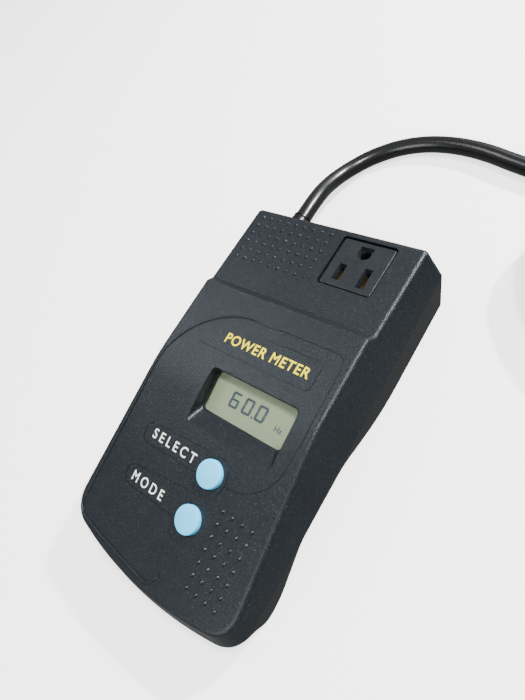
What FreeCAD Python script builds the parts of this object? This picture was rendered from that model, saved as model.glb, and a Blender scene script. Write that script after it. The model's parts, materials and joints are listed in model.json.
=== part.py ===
import FreeCAD, Part
import math
import os

# Plug-in power meter: a hand-size case with a socket outlet, a display and two
# push buttons, fed by its own mains lead. Millimetres. The meter lies on its back:
# X runs across it, +Y towards the lead, +Z up out of its front.

V = FreeCAD.Vector

# ---- driving dimensions -------------------------------------------------------

# case outline
case_length = 183.0
top_half_width = 47.1          # half width at the outlet platform's top
side_draft = 0.256             # outward lean of the front shell's sides, per mm down
nose_draft = 0.34              # the same at the rounded lower end
end_draft = 0.03               # the same at the cord end
back_draft = 0.148             # inward lean of the back shell's walls, per mm down
nose_radius = 190.0            # plan curve of the lower end
nose_corner = 14.0
end_corner = 2.5
front_wall = 2.5
back_wall = 2.5
top_rounding = 2.4
base_rounding = 1.8

# heights along the case
platform_z = 41.0              # outlet platform above the table
parting_mid_z = 19.6           # parting plane at mid length
parting_slope = 0.057
bend_y = -1.0                  # where the control panel bends down
bend_z = 42.2
bend_radius = 100.0
panel_tilt = 12.5              # lower panel, degrees
upper_tilt = 2.2
riser_y = 46.1                 # foot of the step from platform to panel
riser_tilt = 41.0
step_run = 12.0                # how far the step's slope runs on inside the platform

# underside: a flat base, a finger arch and a foot
base_end_y = 28.0
base_curve = 70.0
arch_z = 15.2
arch_far_y = -2.7
arch_near_y = -36.0
arch_far_curve = 25.0
arch_near_curve = 12.0
foot_far_y = -60.0
foot_near_y = -71.0
foot_far_curve = 20.0
foot_near_curve = 7.0
shelf_y = -75.5
shelf_z = 12.2
shelf_curve = 3.0

# display recess and stack, in the tilted panel's own plane
recess_x0 = -12.7
recess_x1 = 36.1
recess_u1 = 6.6                # upper end of the recess floor
recess_u0 = -12.9              # lower end of the floor, where the ramp starts
ramp_u = -19.9                 # where the ramp meets the panel
recess_depth = 5.7
recess_corner = 2.2
tub_wall = 1.5
window_margin = 0.6            # floor lip left round the window
window_side = 2.9              # the same at its right-hand end
lens_thickness = 1.0
lens_border = 1.2
glass_thickness = 2.2
glass_ledge = 2.4              # contact ledge of the glass, beyond the window
reflector_thickness = 0.25
holder_rail = 1.4              # the holder's rim beyond the glass
holder_play = 0.1
zebra_width = 1.8
zebra_length = 42.0
board_w = -13.0                # display board's top face
board_thickness = 1.6
board_x0 = -23.0
board_x1 = 44.0
board_u0 = -60.5
board_u1 = 11.0

# buttons
button_x = 11.8
select_u = -33.8
mode_u = -54.3
button_radius = 6.2
button_clearance = 0.35
button_proud = 2.4
button_crown = 0.45
button_edge = 0.6
flange_extra = 1.3
flange_thickness = 1.2
flange_gap = 0.3
stem_radius = 2.0
button_travel = 1.0
switch_size = 7.0
switch_height = 3.5
plunger_radius = 1.75
plunger_top = -8.2
plunger_play = 0.08
plunger_depth = 1.5            # how far the plunger sits in the switch at rest

# outlet
outlet_x = 21.4
outlet_inset = 17.2            # its centre from the lead end
outlet_width = 26.4
outlet_length = 25.2
outlet_gap = 0.7
outlet_sunk = 0.5
outlet_depth = 22.0
outlet_corner = 1.0
outlet_bevel = 0.6
blade_pitch = 12.7
blade_y = -5.0                 # blade line from the outlet's centre
ground_y = 6.9                 # ground hole from the outlet's centre
slot_width = 2.3
hot_slot = 7.0
neutral_slot = 8.6
chute_flare = 0.75
chute_depth = 2.2
ground_hole = 2.6              # radius
face_thickness = 3.5
chamber_width = 4.6
chamber_length = 10.4
ear_reach = 20.6
ear_width = 9.0
ear_thickness = 2.2
ear_z = 30.0
ear_screw = 17.4
back_plate = 2.2
leaf = 0.7                     # contact sheet thickness
tab_z = 11.2

# screws: shank radius, head radius, head height
case_screw = (1.45, 2.8, 2.2)
small_screw = (1.0, 2.1, 1.4)
end_screws_x = (-22.0, 42.0)
end_screw_inset = 8.5          # from the lead end
foot_screws = ((-38.0, -64.5), (38.0, -64.5))
boss_wall = 2.0
screw_bite = 8.0
head_cover = 7.0               # shell material between a case screw's head and the parting
screw_slack = 0.3
board_post_sites = ((-19.5, 6.5), (40.6, 6.5), (-19.5, -55.0), (37.0, -55.0))

# main board
main_z = 8.0
main_x = 42.0
main_y0 = 27.0
main_y1 = 77.0
main_post_sites = ((-38.0, 31.0), (38.0, 31.0), (-38.0, 73.0), (38.0, 73.0))
main_corner = 2.0

# lead
cord_diameter = 9.0
cord_x = -39.5
cord_z = 17.0
relief_length = 15.0
relief_flange = 7.4
relief_neck = 6.0
relief_nose = 5.1
relief_inside = 3.0
jacket_inside = 12.5
core_radius = 1.5
coil_turn_radius = 50.0
coil_lift = 0.8
coil_pitch = 9.3
coil_x = 131.0
coil_y = 132.0
coil_start = 110.0             # degrees, where the lead runs onto the coil
coil_top_start = 165.0         # where the top layer begins
coil_end = -5.0                # where it leaves the top layer
coil_play = 0.2                # the wound turns' bulge on each side
coil_layers = 2
tie_angle = -75.0
tie_width = 8.0
tie_thickness = 0.7
tie_play = 0.25

clamp_inset = 9.5              # its middle from the lead end
clamp_width = 15.2
clamp_length = 5.0
clamp_height = 7.0
clamp_screw_reach = 6.0
clamp_screw = (0.8, 1.5, 1.1)
end_wall_depth = 3.0           # from the case's end to the inside of its wall, where the lead enters

# plug
plug_x = 165.3                 # where its grip starts
plug_y = 43.8
plug_z = 12.6
plug_heading = -106.0          # degrees, the way the pins point
plug_tail = 20.0
# along the grip, half width, half height and corner radius of each section
plug_sections = (
    (0.0, 7.5, 7.0, 4.0), (14.0, 10.5, 10.0, 4.0), (30.0, 12.8, 12.4, 3.5), (36.0, 12.8, 12.4, 3.5),
)
blade_height = -5.2            # blades from the plug's axis
blade_length = 17.5
blade_width = 6.35
blade_thickness = 1.5
pin_radius = 2.38
pin_length = 19.5
pin_offset = 11.9

# parts on the main board
core_size = (34.0, 27.0, 14.0)
core_leg = 10.0
core_x = 0.0
core_y = 46.5
winding_play = 0.2
bobbin_wall = 0.8
fuse_radius = 2.6
fuse_length = 20.0
fuse_x = -31.0
fuse_y = 37.0
shunt_size = (16.0, 7.0, 1.0)
shunt_width = 5.0
shunt_x = -9.0
shunt_y = 70.5
filter_place = (-32.0, 46.0)
reservoir_places = ((25.0, 34.0, 5.0, 16.0), (24.0, 46.0, 4.0, 12.0))
varistor_place = (-27.0, 30.0)
regulator_place = (36.0, 46.0)
meter_chip_place = (-8.0, 65.0)
terminal_span = (-42.0, -24.0, 52.5, 61.0)
wire_terminals = (-38.5, -30.5)
terminal_z = 14.5
ground_wire_z = 21.0
tab_wire_z = 13.4
header_u = 8.0
header_height = 5.0
lower_header_y = 30.0
ribbon_x = 4.0
ribbon_width = 20.0
ribbon_thickness = 0.9

# outlet contacts
tab_width = 5.0
blade_gap = 1.4
ground_gap = 4.6
ground_chamber_top = 30.0

# marks on the panel
groove_width = 0.5
groove_depth = 0.25
ridge_width = 1.0
ridge_height = 0.3
field_gap = 2.4                # from a button to the lines of its field
ring_gap = 0.9                 # from a button to the raised band beside it
ring_width = 1.5
ring_from = -35.0              # degrees, clockwise end of that band
ring_to = 75.0

# ---- values worked out from them ----------------------------------------------

half_length = case_length / 2
nose_parting_z = parting_mid_z - parting_slope * half_length
end_parting_z = parting_mid_z + parting_slope * half_length
cord_radius = cord_diameter / 2
outlet_y = half_length - outlet_inset
clamp_y = half_length - clamp_inset
case_screw_sites = tuple((x, half_length - end_screw_inset) for x in end_screws_x) + foot_screws
board_under = board_w - board_thickness
main_top = main_z + board_thickness
outlet_face_z = platform_z - outlet_sunk
outlet_rear_z = outlet_face_z - outlet_depth
panel_place = FreeCAD.Placement(V(0, bend_y, bend_z), FreeCAD.Rotation(V(1, 0, 0), panel_tilt))
plug_place = FreeCAD.Placement(V(plug_x, plug_y, plug_z), FreeCAD.Rotation(V(0, 0, 1), plug_heading))
lens_top = -recess_depth - tub_wall
glass_top = lens_top - lens_thickness
glass_low = glass_top - glass_thickness
hot_x = outlet_x - blade_pitch / 2
neutral_x = outlet_x + blade_pitch / 2
blades_y = outlet_y + blade_y
ground_place_y = outlet_y + ground_y
beyond = 30.0                  # how far cutting solids reach past the case

# ---- shape helpers ------------------------------------------------------------


def block(x0, x1, y0, y1, z0, z1):
    return Part.makeBox(x1 - x0, y1 - y0, z1 - z0, V(x0, y0, z0))


def post(radius, x, y, z0, z1):
    return Part.makeCylinder(radius, z1 - z0, V(x, y, z0))


def rounded_edges(points, radii, closed):
    # straight runs through the points, with a tangent arc at each corner that has a radius
    count = len(points)
    corners = []
    for i, (corner, radius) in enumerate(zip(points, radii)):
        if radius == 0 or (not closed and i in (0, count - 1)):
            corners.append((corner, None, corner))
            continue
        back = (points[i - 1] - corner).normalize()
        ahead = (points[(i + 1) % count] - corner).normalize()
        half = back.getAngle(ahead) / 2
        reach = radius / math.tan(half)
        middle = corner + (back + ahead).normalize() * (radius / math.sin(half) - radius)
        corners.append((corner + back * reach, middle, corner + ahead * reach))
    edges = []
    for i, (start, middle, end) in enumerate(corners):
        if middle is not None:
            edges.append(Part.Arc(start, middle, end).toShape())
        if closed or i < count - 1:
            after = corners[(i + 1) % count][0]
            if (after - end).Length > 1e-6:
                edges.append(Part.makeLine(end, after))
    return edges


def outline(points, radii=None):
    return Part.Wire(rounded_edges(points, radii or [0] * len(points), True))


def plate(points, push, radii=None):
    return Part.Face(outline(points, radii)).extrude(push)


def rectangle(x0, x1, y0, y1, z):
    return [V(x0, y0, z), V(x1, y0, z), V(x1, y1, z), V(x0, y1, z)]


def slab(x0, x1, y0, y1, z0, z1, corner):
    return plate(rectangle(x0, x1, y0, y1, z0), V(0, 0, z1 - z0), [corner] * 4)


def side_profile(points, x0, x1, radii=None):
    # an outline in Y and Z, as thick as the span in X
    return plate([V(x0, y, z) for y, z in points], V(x1 - x0, 0, 0), radii)


def turned(profile, place, axis):
    # a solid of revolution from (radius, height) points, standing on a place along an axis
    wire = outline([V(r, 0, h) for r, h in profile])
    solid = Part.Face(wire).revolve(V(0, 0, 0), V(0, 0, 1), 360)
    turn = FreeCAD.Rotation(V(0, 0, 1), axis)
    return solid.transformed(FreeCAD.Placement(place, turn).toMatrix())


def pipe(points, radius, bend):
    # a round tube along straight runs joined by arcs
    radii = bend if isinstance(bend, list) else [bend] * len(points)
    path = Part.Wire(rounded_edges(points, radii, False))
    along = (points[1] - points[0]).normalize()
    ring = Part.Wire(Part.makeCircle(radius, points[0], along))
    return path.makePipeShell([ring], True, False)


def line_band(points, radii, width):
    # a flat strip of a given width that follows a drawn line
    line = Part.Wire(rounded_edges(points, radii, False))
    return Part.Face(line.makeOffset2D(width / 2))


def on_panel(shape):
    return shape.transformed(panel_place.toMatrix())


def offset_path(points, radii, depth):
    # an open (y, z) path moved to its left by a depth, its arcs kept concentric
    lines = []
    for (y0, z0), (y1, z1) in zip(points, points[1:]):
        length = math.hypot(y1 - y0, z1 - z0)
        dy, dz = (y1 - y0) / length, (z1 - z0) / length
        lines.append((y0 - dz * depth, z0 + dy * depth, dy, dz, length))
    moved = [(lines[0][0], lines[0][1])]
    kept = [0]
    for (ya, za, dya, dza, _), (yb, zb, dyb, dzb, _), radius in zip(lines, lines[1:], radii[1:]):
        turn = dya * dzb - dza * dyb
        along = ((yb - ya) * dzb - (zb - za) * dyb) / turn
        moved.append((ya + along * dya, za + along * dza))
        kept.append(max(radius - math.copysign(depth, turn), 0) if radius else 0)
    y, z, dy, dz, length = lines[-1]
    moved.append((y + dy * length, z + dz * length))
    return moved, kept + [0]


def side_region(top, bottom):
    # what lies between two (points, radii) paths, over the whole width and more
    points = top[0] + bottom[0][::-1]
    radii = top[1] + bottom[1][::-1]
    return side_profile(points, -100, 100, radii)


# ---- case profile -------------------------------------------------------------


def parting_z(y):
    return parting_mid_z + parting_slope * y


def panel_path(depth, whole=True):
    # the front's side profile, from the lower end to the cord end, a depth below the surface;
    # without its platform it runs on down the slope of the step
    lower = math.tan(math.radians(panel_tilt))
    upper = math.tan(math.radians(upper_tilt))
    fall = math.tan(math.radians(riser_tilt))
    reach = half_length + beyond
    head_y = (platform_z + fall * riser_y - bend_z + upper * bend_y) / (upper + fall)
    head_z = bend_z + upper * (head_y - bend_y)
    points = [
        (-reach, bend_z - lower * (reach + bend_y)),
        (bend_y, bend_z),
        (head_y, head_z),
    ]
    if whole:
        points += [(riser_y, platform_z), (reach, platform_z)]
    else:
        points += [(riser_y + step_run, platform_z - fall * step_run)]
    return offset_path(points, [0, bend_radius] + [0] * (len(points) - 2), -depth)


def parting_path(lift):
    reach = half_length + beyond
    return [(-reach, parting_z(-reach) + lift), (reach, parting_z(reach) + lift)], [0, 0]


def base_path(depth):
    reach = half_length + beyond
    points = [
        (-reach, shelf_z),
        (shelf_y, shelf_z),
        (foot_near_y, 0),
        (foot_far_y, 0),
        (arch_near_y, arch_z),
        (arch_far_y, arch_z),
        (base_end_y, 0),
        (reach, 0),
    ]
    radii = [
        0, shelf_curve, foot_near_curve, foot_far_curve,
        arch_near_curve, arch_far_curve, base_curve, 0,
    ]
    return offset_path(points, radii, depth)


def nose_cone(z0, z1, draft, inset):
    # the lower end's curved wall, as a large cone that the blank is cut to
    centre_y = -half_length + nose_radius
    r0 = nose_radius - draft * (z0 - nose_parting_z) - inset
    r1 = nose_radius - draft * (z1 - nose_parting_z) - inset
    return Part.makeCone(r0, r1, z1 - z0, V(0, centre_y, z0))


def round_uprights(blank, inset):
    near = []
    far = []
    for edge in blank.Edges:
        box = edge.BoundBox
        if box.ZLength > 20:
            (near if box.Center.y < 0 else far).append(edge)
    rounded = blank.makeFillet(max(nose_corner - inset, 1.0), near)
    far = [e for e in rounded.Edges if e.BoundBox.ZLength > 20 and e.BoundBox.Center.y > half_length / 2]
    return rounded.makeFillet(max(end_corner - inset, 0.5), far) if far else rounded


def front_blank(inset):
    levels = []
    for z in (5.0, 50.0):
        half = top_half_width + side_draft * (platform_z - z) - inset
        end = half_length - end_draft * (z - end_parting_z) - inset
        levels.append(outline(rectangle(-half, half, -half_length - beyond, end, z)))
    walls = Part.makeLoft(levels, True, True)
    return round_uprights(walls.common(nose_cone(5.0, 50.0, nose_draft, inset)), inset)


def back_blank(inset):
    # its walls start on the front shell's edge all along the sloping parting plane
    lean = side_draft + back_draft
    start = top_half_width + side_draft * platform_z - lean * parting_mid_z
    narrowing = lean * parting_slope
    levels = []
    for z in (-2.0, 30.0):
        far = half_length + end_draft * (z - end_parting_z) - inset
        near = -half_length - beyond
        at_far = start + back_draft * z - narrowing * far - inset
        at_near = start + back_draft * z - narrowing * near - inset
        corners = [V(-at_near, near, z), V(at_near, near, z), V(at_far, far, z), V(-at_far, far, z)]
        levels.append(outline(corners))
    walls = Part.makeLoft(levels, True, True)
    return round_uprights(walls.common(nose_cone(-2.0, 30.0, -back_draft, inset)), inset)


def rim_edges(solid, keep):
    # edges whose middle point and box pass a test
    chosen = []
    for edge in solid.Edges:
        middle = edge.valueAt((edge.FirstParameter + edge.LastParameter) / 2)
        if keep(middle, edge.BoundBox):
            chosen.append(edge)
    return chosen


# ---- shells -------------------------------------------------------------------


def recess_solid(grow, mouth):
    # the display recess, drawn in the panel's plane: floor, ramp and open mouth
    points = [
        (recess_u1 + grow, -recess_depth - grow),
        (recess_u0 - grow / 2, -recess_depth - grow),
        (ramp_u - grow, -grow / 2),
        (ramp_u - grow, mouth),
        (recess_u1 + grow, mouth),
    ]
    solid = side_profile(points, recess_x0 - grow, recess_x1 + grow)
    corner = rim_edges(solid, lambda p, box: box.XLength < 0.01 and box.YLength < 0.01 and p.y > 0)
    ramp = rim_edges(solid, lambda p, box: box.XLength < 0.01 and 0.1 < box.YLength < 12 and p.z < 0)
    return solid.makeFillet(recess_corner, corner + ramp)


def window_span(margin):
    # the window in the recess floor, grown or shrunk all round
    return (
        recess_x0 + window_margin - margin, recess_x1 - window_side + margin,
        recess_u0 + window_margin - margin, recess_u1 - window_margin + margin,
    )


def panel_marks():
    # thin lines moulded into the panel: the fields round the title and the buttons
    ring = button_radius + field_gap
    y_select = bend_y + select_u * math.cos(math.radians(panel_tilt))
    y_mode = bend_y + mode_u * math.cos(math.radians(panel_tilt))
    title = [V(-28.5, 13.6, 0), V(-26, 12.9, 0), V(35, 12.9, 0), V(35, 26.5, 0), V(6, 26.2, 0)]
    edge = [
        V(8, 32.3, 0), V(42.4, 32.6, 0), V(43.4, -3.0, 0), V(41.0, -31.5, 0),
        V(button_x + ring, y_select - 1.5, 0),
    ]
    select_field = [
        V(button_x - 4, y_select + ring - 1, 0), V(-31.3, y_select + 5.0, 0),
        V(-31.3, y_select - 4.0, 0), V(button_x - ring + 1.5, y_select - 3.0, 0),
    ]
    mode_field = [
        V(button_x - 2, y_mode + ring + 1.6, 0), V(-30.5, y_mode + 5.0, 0),
        V(-30.5, y_mode - 3.6, 0), V(button_x - ring, y_mode - 3.0, 0),
    ]
    lines = [
        (title, [0, 2, 2.5, 2.5, 0]),
        (edge, [0, 5, 30, 20, 0]),
        (select_field, [0, 4.2, 4.2, 0]),
        (mode_field, [0, 4.0, 4.0, 0]),
    ]
    cutters = []
    for points, radii in lines:
        cutters.append(line_band(points, radii, groove_width).extrude(V(0, 0, 60)))
    return cutters


def panel_ridge():
    # a low bead that runs down the left of the panel and along its lower end
    points = [
        V(8, 32.3, 0), V(-43.8, 32.3, 0), V(-45.2, -30, 0), V(-47.4, -80.6, 0),
        V(-28, -83.2, 0), V(7.5, -85.6, 0), V(10.4, -79.5, 0),
    ]
    return line_band(points, [0, 39, 300, 6, 150, 5.5, 0], ridge_width).extrude(V(0, 0, 60))


def button_ring():
    # a low raised band round the outer side of the upper button
    middle = button_radius + ring_gap + ring_width / 2
    places = []
    for share in (0, 0.5, 1):
        angle = math.radians(ring_from + (ring_to - ring_from) * share)
        places.append(V(button_x + middle * math.cos(angle), select_u + middle * math.sin(angle), -1))
    line = Part.Wire([Part.Arc(*places).toShape()])
    band = Part.Face(line.makeOffset2D(ring_width / 2)).extrude(V(0, 0, 1 + ridge_height))
    return on_panel(band)


def front_outer():
    # the platform and the panel are rounded apart, because the step breaks their rims
    blank = front_blank(0)
    above = side_region(([(-200, 90), (200, 90)], [0, 0]), parting_path(0))
    platform = blank.common(above).common(block(-100, 100, riser_y - 12, 200, 0, platform_z))
    rim = rim_edges(platform, lambda p, box: box.ZMin > platform_z - 0.01 and box.YMax > riser_y - 11)
    platform = platform.makeFillet(min(top_rounding, 0.95 * end_corner), rim)
    top = panel_path(0, False)
    under = [(top[0][-1][0], 0), (-half_length - beyond, 0)]
    panel = blank.common(side_profile(top[0] + under, -100, 100, top[1] + [0, 0])).common(above)
    rim = rim_edges(panel, lambda p, box: (
        p.z > parting_z(p.y) + 3 and box.ZLength < 25
        and (abs(p.x) > top_half_width - 12 or p.y < -half_length / 2)
        and box.ZLength < 3 * max(box.XLength, box.YLength / 2)
    ))
    panel = panel.makeFillet(top_rounding, rim)
    return platform.fuse(panel).removeSplitter()


def front_shell():
    outer = front_outer()
    cavity = front_blank(front_wall).common(side_region(panel_path(front_wall), parting_path(-5)))
    shell = outer.cut(cavity)
    added = [on_panel(recess_solid(tub_wall, 0)).common(outer)]
    cuts = [on_panel(recess_solid(0, 12))]
    x0, x1, u0, u1 = window_span(0)
    cuts.append(on_panel(slab(x0, x1, u0, u1, -20, 0, recess_corner)))
    for u in (select_u, mode_u):
        cuts.append(on_panel(post(button_radius + button_clearance, button_x, u, -8, 8)))
    for x, u in board_post_sites:
        added.append(on_panel(post(small_screw[0] + 1.2, x, u, board_w, 4)).common(outer))
        cuts.append(on_panel(post(small_screw[0], x, u, board_w - 1, board_w + 6)))
    for x, y in case_screw_sites:
        added.append(post(case_screw[0] + boss_wall, x, y, parting_z(y), 60).common(outer))
        cuts.append(post(case_screw[0], x, y, 0, parting_z(y) + screw_bite))
    ear_top = ear_z + ear_thickness
    for side in (-1, 1):
        x = outlet_x + side * ear_screw
        added.append(post(small_screw[0] + 1.4, x, outlet_y, ear_top, 60).common(outer))
        cuts.append(post(small_screw[0], x, outlet_y, 0, ear_top + 5))
    half_x = outlet_width / 2 + outlet_gap
    half_y = outlet_length / 2 + outlet_gap
    cuts.append(slab(outlet_x - half_x, outlet_x + half_x, outlet_y - half_y, outlet_y + half_y,
                     platform_z - 8, platform_z + 8, outlet_corner + outlet_gap))
    skin = side_region(panel_path(-ridge_height), panel_path(0.6))
    added.append(panel_ridge().common(skin))
    added.append(button_ring())
    groove_skin = side_region(panel_path(-1.0), panel_path(groove_depth))
    for line in panel_marks():
        cuts.append(line.common(groove_skin))
    return shell.fuse(added).cut(cuts).removeSplitter()


def back_shell():
    body = back_blank(0).common(side_region(parting_path(0), base_path(0)))
    rim = rim_edges(body, lambda p, box: (
        p.z < parting_z(p.y) - 1.5 and box.ZLength < 16
        and (abs(p.x) > 40 or p.y > half_length - 5)
        and box.ZLength < 2.5 * max(box.XLength, box.YLength)
    ))
    outer = body.makeFillet(base_rounding, rim)
    cavity = back_blank(back_wall).common(side_region(parting_path(10), base_path(back_wall)))
    shell = outer.cut(cavity)
    added = []
    cuts = []
    for x, y in case_screw_sites:
        seat = parting_z(y) - head_cover
        added.append(post(case_screw[1] + boss_wall, x, y, -5, parting_z(y)).common(body))
        cuts.append(post(case_screw[0] + screw_slack, x, y, -10, 60))
        cuts.append(post(case_screw[1] + screw_slack, x, y, -10, seat))
    for x, y in main_post_sites:
        added.append(post(small_screw[0] + 1.8, x, y, -5, main_z).common(body))
        cuts.append(post(small_screw[0], x, y, main_z - 5, main_z + 1))
    x0, x1, y0, y1 = clamp_span()
    added.append(block(x0, x1, y0, y1, -5, cord_z).common(body))
    stub = Part.makeCylinder(cord_radius, 60, V(cord_x, y0 - 20, cord_z), V(0, 1, 0))
    cuts.append(stub.common(block(-60, 0, y0 - 1, y1 + 1, 0, 40)))
    for x in clamp_screws():
        cuts.append(post(clamp_screw[0], x, clamp_y, cord_z - 6, cord_z + 1))
    cuts.append(Part.makeCylinder(relief_neck, 20, V(cord_x, half_length - 10, cord_z), V(0, 1, 0)))
    return shell.fuse(added).cut(cuts).removeSplitter()


def screw(size, head_at, way, length):
    # a pan-head screw: shank along a direction, head at the other side of the head's seat
    radius, head, height = size
    profile = [
        (0, -height), (head * 0.7, -height), (head, -height * 0.6), (head, 0),
        (radius, 0), (radius, length - radius), (0.2, length), (0, length),
    ]
    solid = turned(profile, V(0, 0, 0), V(0, 0, 1))
    arm = head * 0.55
    for span in ((arm, 0.3), (0.3, arm)):
        solid = solid.cut(block(-span[0], span[0], -span[1], span[1], -height - 1, -height * 0.5))
    turn = FreeCAD.Rotation(V(0, 0, 1), way)
    return solid.transformed(FreeCAD.Placement(head_at, turn).toMatrix())


def case_screws():
    length = head_cover + screw_bite - 0.5
    return Part.makeCompound([
        screw(case_screw, V(x, y, parting_z(y) - head_cover), V(0, 0, 1), length)
        for x, y in case_screw_sites
    ])


def clamp_span():
    half_x, half_y = clamp_width / 2, clamp_length / 2
    return cord_x - half_x, cord_x + half_x, clamp_y - half_y, clamp_y + half_y


def clamp_screws():
    return cord_x - clamp_screw_reach, cord_x + clamp_screw_reach


# ---- buttons and switches, drawn in the panel's plane ---------------------------


def button(u):
    underside = -front_wall - flange_gap
    sphere = (button_radius ** 2 + button_crown ** 2) / (2 * button_crown)
    cap = post(button_radius, 0, 0, underside, button_proud)
    cap = cap.common(Part.makeSphere(sphere, V(0, 0, button_proud - sphere)))
    cap = cap.makeFillet(button_edge, rim_edges(cap, lambda p, box: p.z > 0 and box.ZLength < 0.01))
    flange = post(button_radius + flange_extra, 0, 0, underside - flange_thickness, underside)
    stem = post(stem_radius, 0, 0, plunger_top, underside - flange_thickness)
    return on_panel(cap.fuse([flange, stem]).removeSplitter().translated(V(button_x, u, 0)))


def plunger(u):
    low = board_w + switch_height - plunger_depth
    return on_panel(post(plunger_radius, button_x, u, low, plunger_top))


def switch(u):
    half = switch_size / 2
    top = board_w + switch_height
    housing = slab(-half, half, -half, half, board_w, top, 0.5)
    well = post(plunger_radius + plunger_play, 0, 0, top - plunger_depth - button_travel - 0.3, top + 1)
    legs = [
        block(x - 0.4, x + 0.4, y - 0.15, y + 0.15, board_under - 1.2, board_w)
        for x in (-2.3, 2.3) for y in (-2.6, 2.6)
    ]
    return on_panel(housing.cut(well).fuse(legs).translated(V(button_x, u, 0)))


def leg_holes():
    return [
        block(button_x + x - 0.5, button_x + x + 0.5, u + y - 0.25, u + y + 0.25,
              board_under - 1, board_w + 1)
        for u in (select_u, mode_u) for x in (-2.3, 2.3) for y in (-2.6, 2.6)
    ]


# ---- display, drawn in the panel's plane ----------------------------------------


def display_lens():
    x0, x1, u0, u1 = window_span(lens_border)
    return on_panel(slab(x0, x1, u0, u1, glass_top, lens_top, recess_corner))


def glass_span():
    x0, x1, u0, u1 = window_span(0)
    return x0 - 1, x1 + 1, u0 - glass_ledge, u1 + glass_ledge


def display_glass():
    # two sheets: the rear one is longer, and its ledges carry the contacts
    x0, x1, u0, u1 = glass_span()
    middle = (glass_top + glass_low) / 2
    upper = block(x0, x1, u0 + 1, u1 - 1, middle, glass_top)
    return on_panel(upper.fuse(block(x0, x1, u0, u1, glass_low, middle)).removeSplitter())


def zebra_spans():
    x0, x1, u0, u1 = glass_span()
    middle = (x0 + x1) / 2
    for low in (u0 + 0.3, u1 - 0.3 - zebra_width):
        yield middle - zebra_length / 2, middle + zebra_length / 2, low, low + zebra_width


def display_reflector():
    x0, x1, u0, u1 = window_span(-0.2)
    return on_panel(block(x0, x1, u0, u1, glass_low - reflector_thickness, glass_low))


def zebra_strips():
    return on_panel(Part.makeCompound([block(*span, board_w, glass_low) for span in zebra_spans()]))


def display_holder():
    # a frame between the board and the glass, with channels for the contact strips
    x0, x1, u0, u1 = glass_span()
    rail, play = holder_rail, holder_play
    frame = slab(x0 - rail, x1 + rail, u0 - rail, u1 + rail, board_w, glass_top, 1.0)
    bed = block(x0 - play, x1 + play, u0 - play, u1 + play, glass_low, glass_top + 1)
    wx0, wx1, wu0, wu1 = window_span(-play)
    light = block(wx0, wx1, wu0, wu1, board_w - 1, glass_low + 1)
    channels = [
        block(a - play, b + play, c - play, d + play, board_w - 1, glass_low + 1)
        for a, b, c, d in zebra_spans()
    ]
    return on_panel(frame.cut([bed, light] + channels))


def display_board():
    board = slab(board_x0, board_x1, board_u0, board_u1, board_under, board_w, main_corner)
    holes = [post(small_screw[0] + 0.1, x, u, board_under - 1, board_w + 1) for x, u in board_post_sites]
    return on_panel(board.cut(holes + leg_holes()))


def display_screws():
    return Part.makeCompound([
        on_panel(screw(small_screw, V(x, u, board_under), V(0, 0, 1), board_thickness + 5.5))
        for x, u in board_post_sites
    ])


def flat_chip(x, y, z, length, width, height, pitch, legs):
    # a moulded package on gull-wing legs along both long sides
    body = slab(x - length / 2, x + length / 2, y - width / 2, y + width / 2, z + 0.15, z + height, 0.3)
    pins = []
    for i in range(legs):
        px = x + (i - (legs - 1) / 2) * pitch
        for side in (-1, 1):
            points = [
                (y + side * (width / 2 - 0.3), z + height / 2),
                (y + side * (width / 2 + 0.6), z + height / 2),
                (y + side * (width / 2 + 0.6), z + 0.2), (y + side * (width / 2 + 1.2), z + 0.2),
                (y + side * (width / 2 + 1.2), z), (y + side * (width / 2 + 0.4), z),
                (y + side * (width / 2 + 0.4), z + height / 2 - 0.2),
                (y + side * (width / 2 - 0.3), z + height / 2 - 0.2),
            ]
            pins.append(side_profile(points, px - pitch * 0.2, px + pitch * 0.2))
    return body.fuse(pins)


def microcontroller():
    return on_panel(flat_chip(-9.0, -44.0, board_w, 18.0, 7.5, 2.3, 1.27, 14))


def crystal():
    can = slab(-4.2, 4.2, -1.6, 1.6, 0, 3.4, 1.55)
    foot = slab(-4.9, 4.9, -2.2, 2.2, 0, 0.5, 2.1)
    return on_panel(can.fuse(foot).removeSplitter().translated(V(-9.0, -33.0, board_w)))


def header(x, y, z, way):
    # a strip of connector housing with its row of pins
    z0, z1 = sorted((z, z + way * header_height))
    housing = block(x - ribbon_width / 2 - 1.5, x + ribbon_width / 2 + 1.5, y - 2.2, y + 2.2, z0, z1)
    slot = block(x - ribbon_width / 2 - 0.2, x + ribbon_width / 2 + 0.2, y - ribbon_thickness / 2 - 0.15,
                 y + ribbon_thickness / 2 + 0.15, *sorted((z + way * 1.5, z + way * (header_height + 1))))
    return housing.cut(slot)


def panel_point(u, w):
    point = panel_place.multVec(V(0, u, w))
    return point.y, point.z


def upper_header():
    fit = header(0, 0, 0, -1)
    return on_panel(fit.translated(V(ribbon_x, header_u, board_under)))


def lower_header():
    return header(ribbon_x, lower_header_y, main_top, 1)


def ribbon_cable():
    # a flat ribbon that hangs out of the upper header and drops into the lower one
    half = ribbon_thickness / 2
    tilt = math.radians(panel_tilt)
    y0, z0 = panel_point(header_u, board_under - 1.5)
    reach = header_height + 4.0
    y1, z1 = y0 + reach * math.sin(tilt), z0 - reach * math.cos(tilt)
    low = main_top + header_height + 4.5
    path = [
        V(ribbon_x, y0, z0), V(ribbon_x, y1, z1), V(ribbon_x, y1 + 5, low),
        V(ribbon_x, lower_header_y, low), V(ribbon_x, lower_header_y, main_top + 1.5),
    ]
    wire = Part.Wire(rounded_edges(path, [0, 3, 3, 3, 0], False))
    across = V(ribbon_width / 2, 0, 0)
    thick = V(0, math.cos(tilt), math.sin(tilt)) * half
    start = path[0]
    section = outline([start - across - thick, start + across - thick, start + across + thick,
                       start - across + thick])
    return wire.makePipeShell([section], True, False)


# ---- main board -------------------------------------------------------------------


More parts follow.
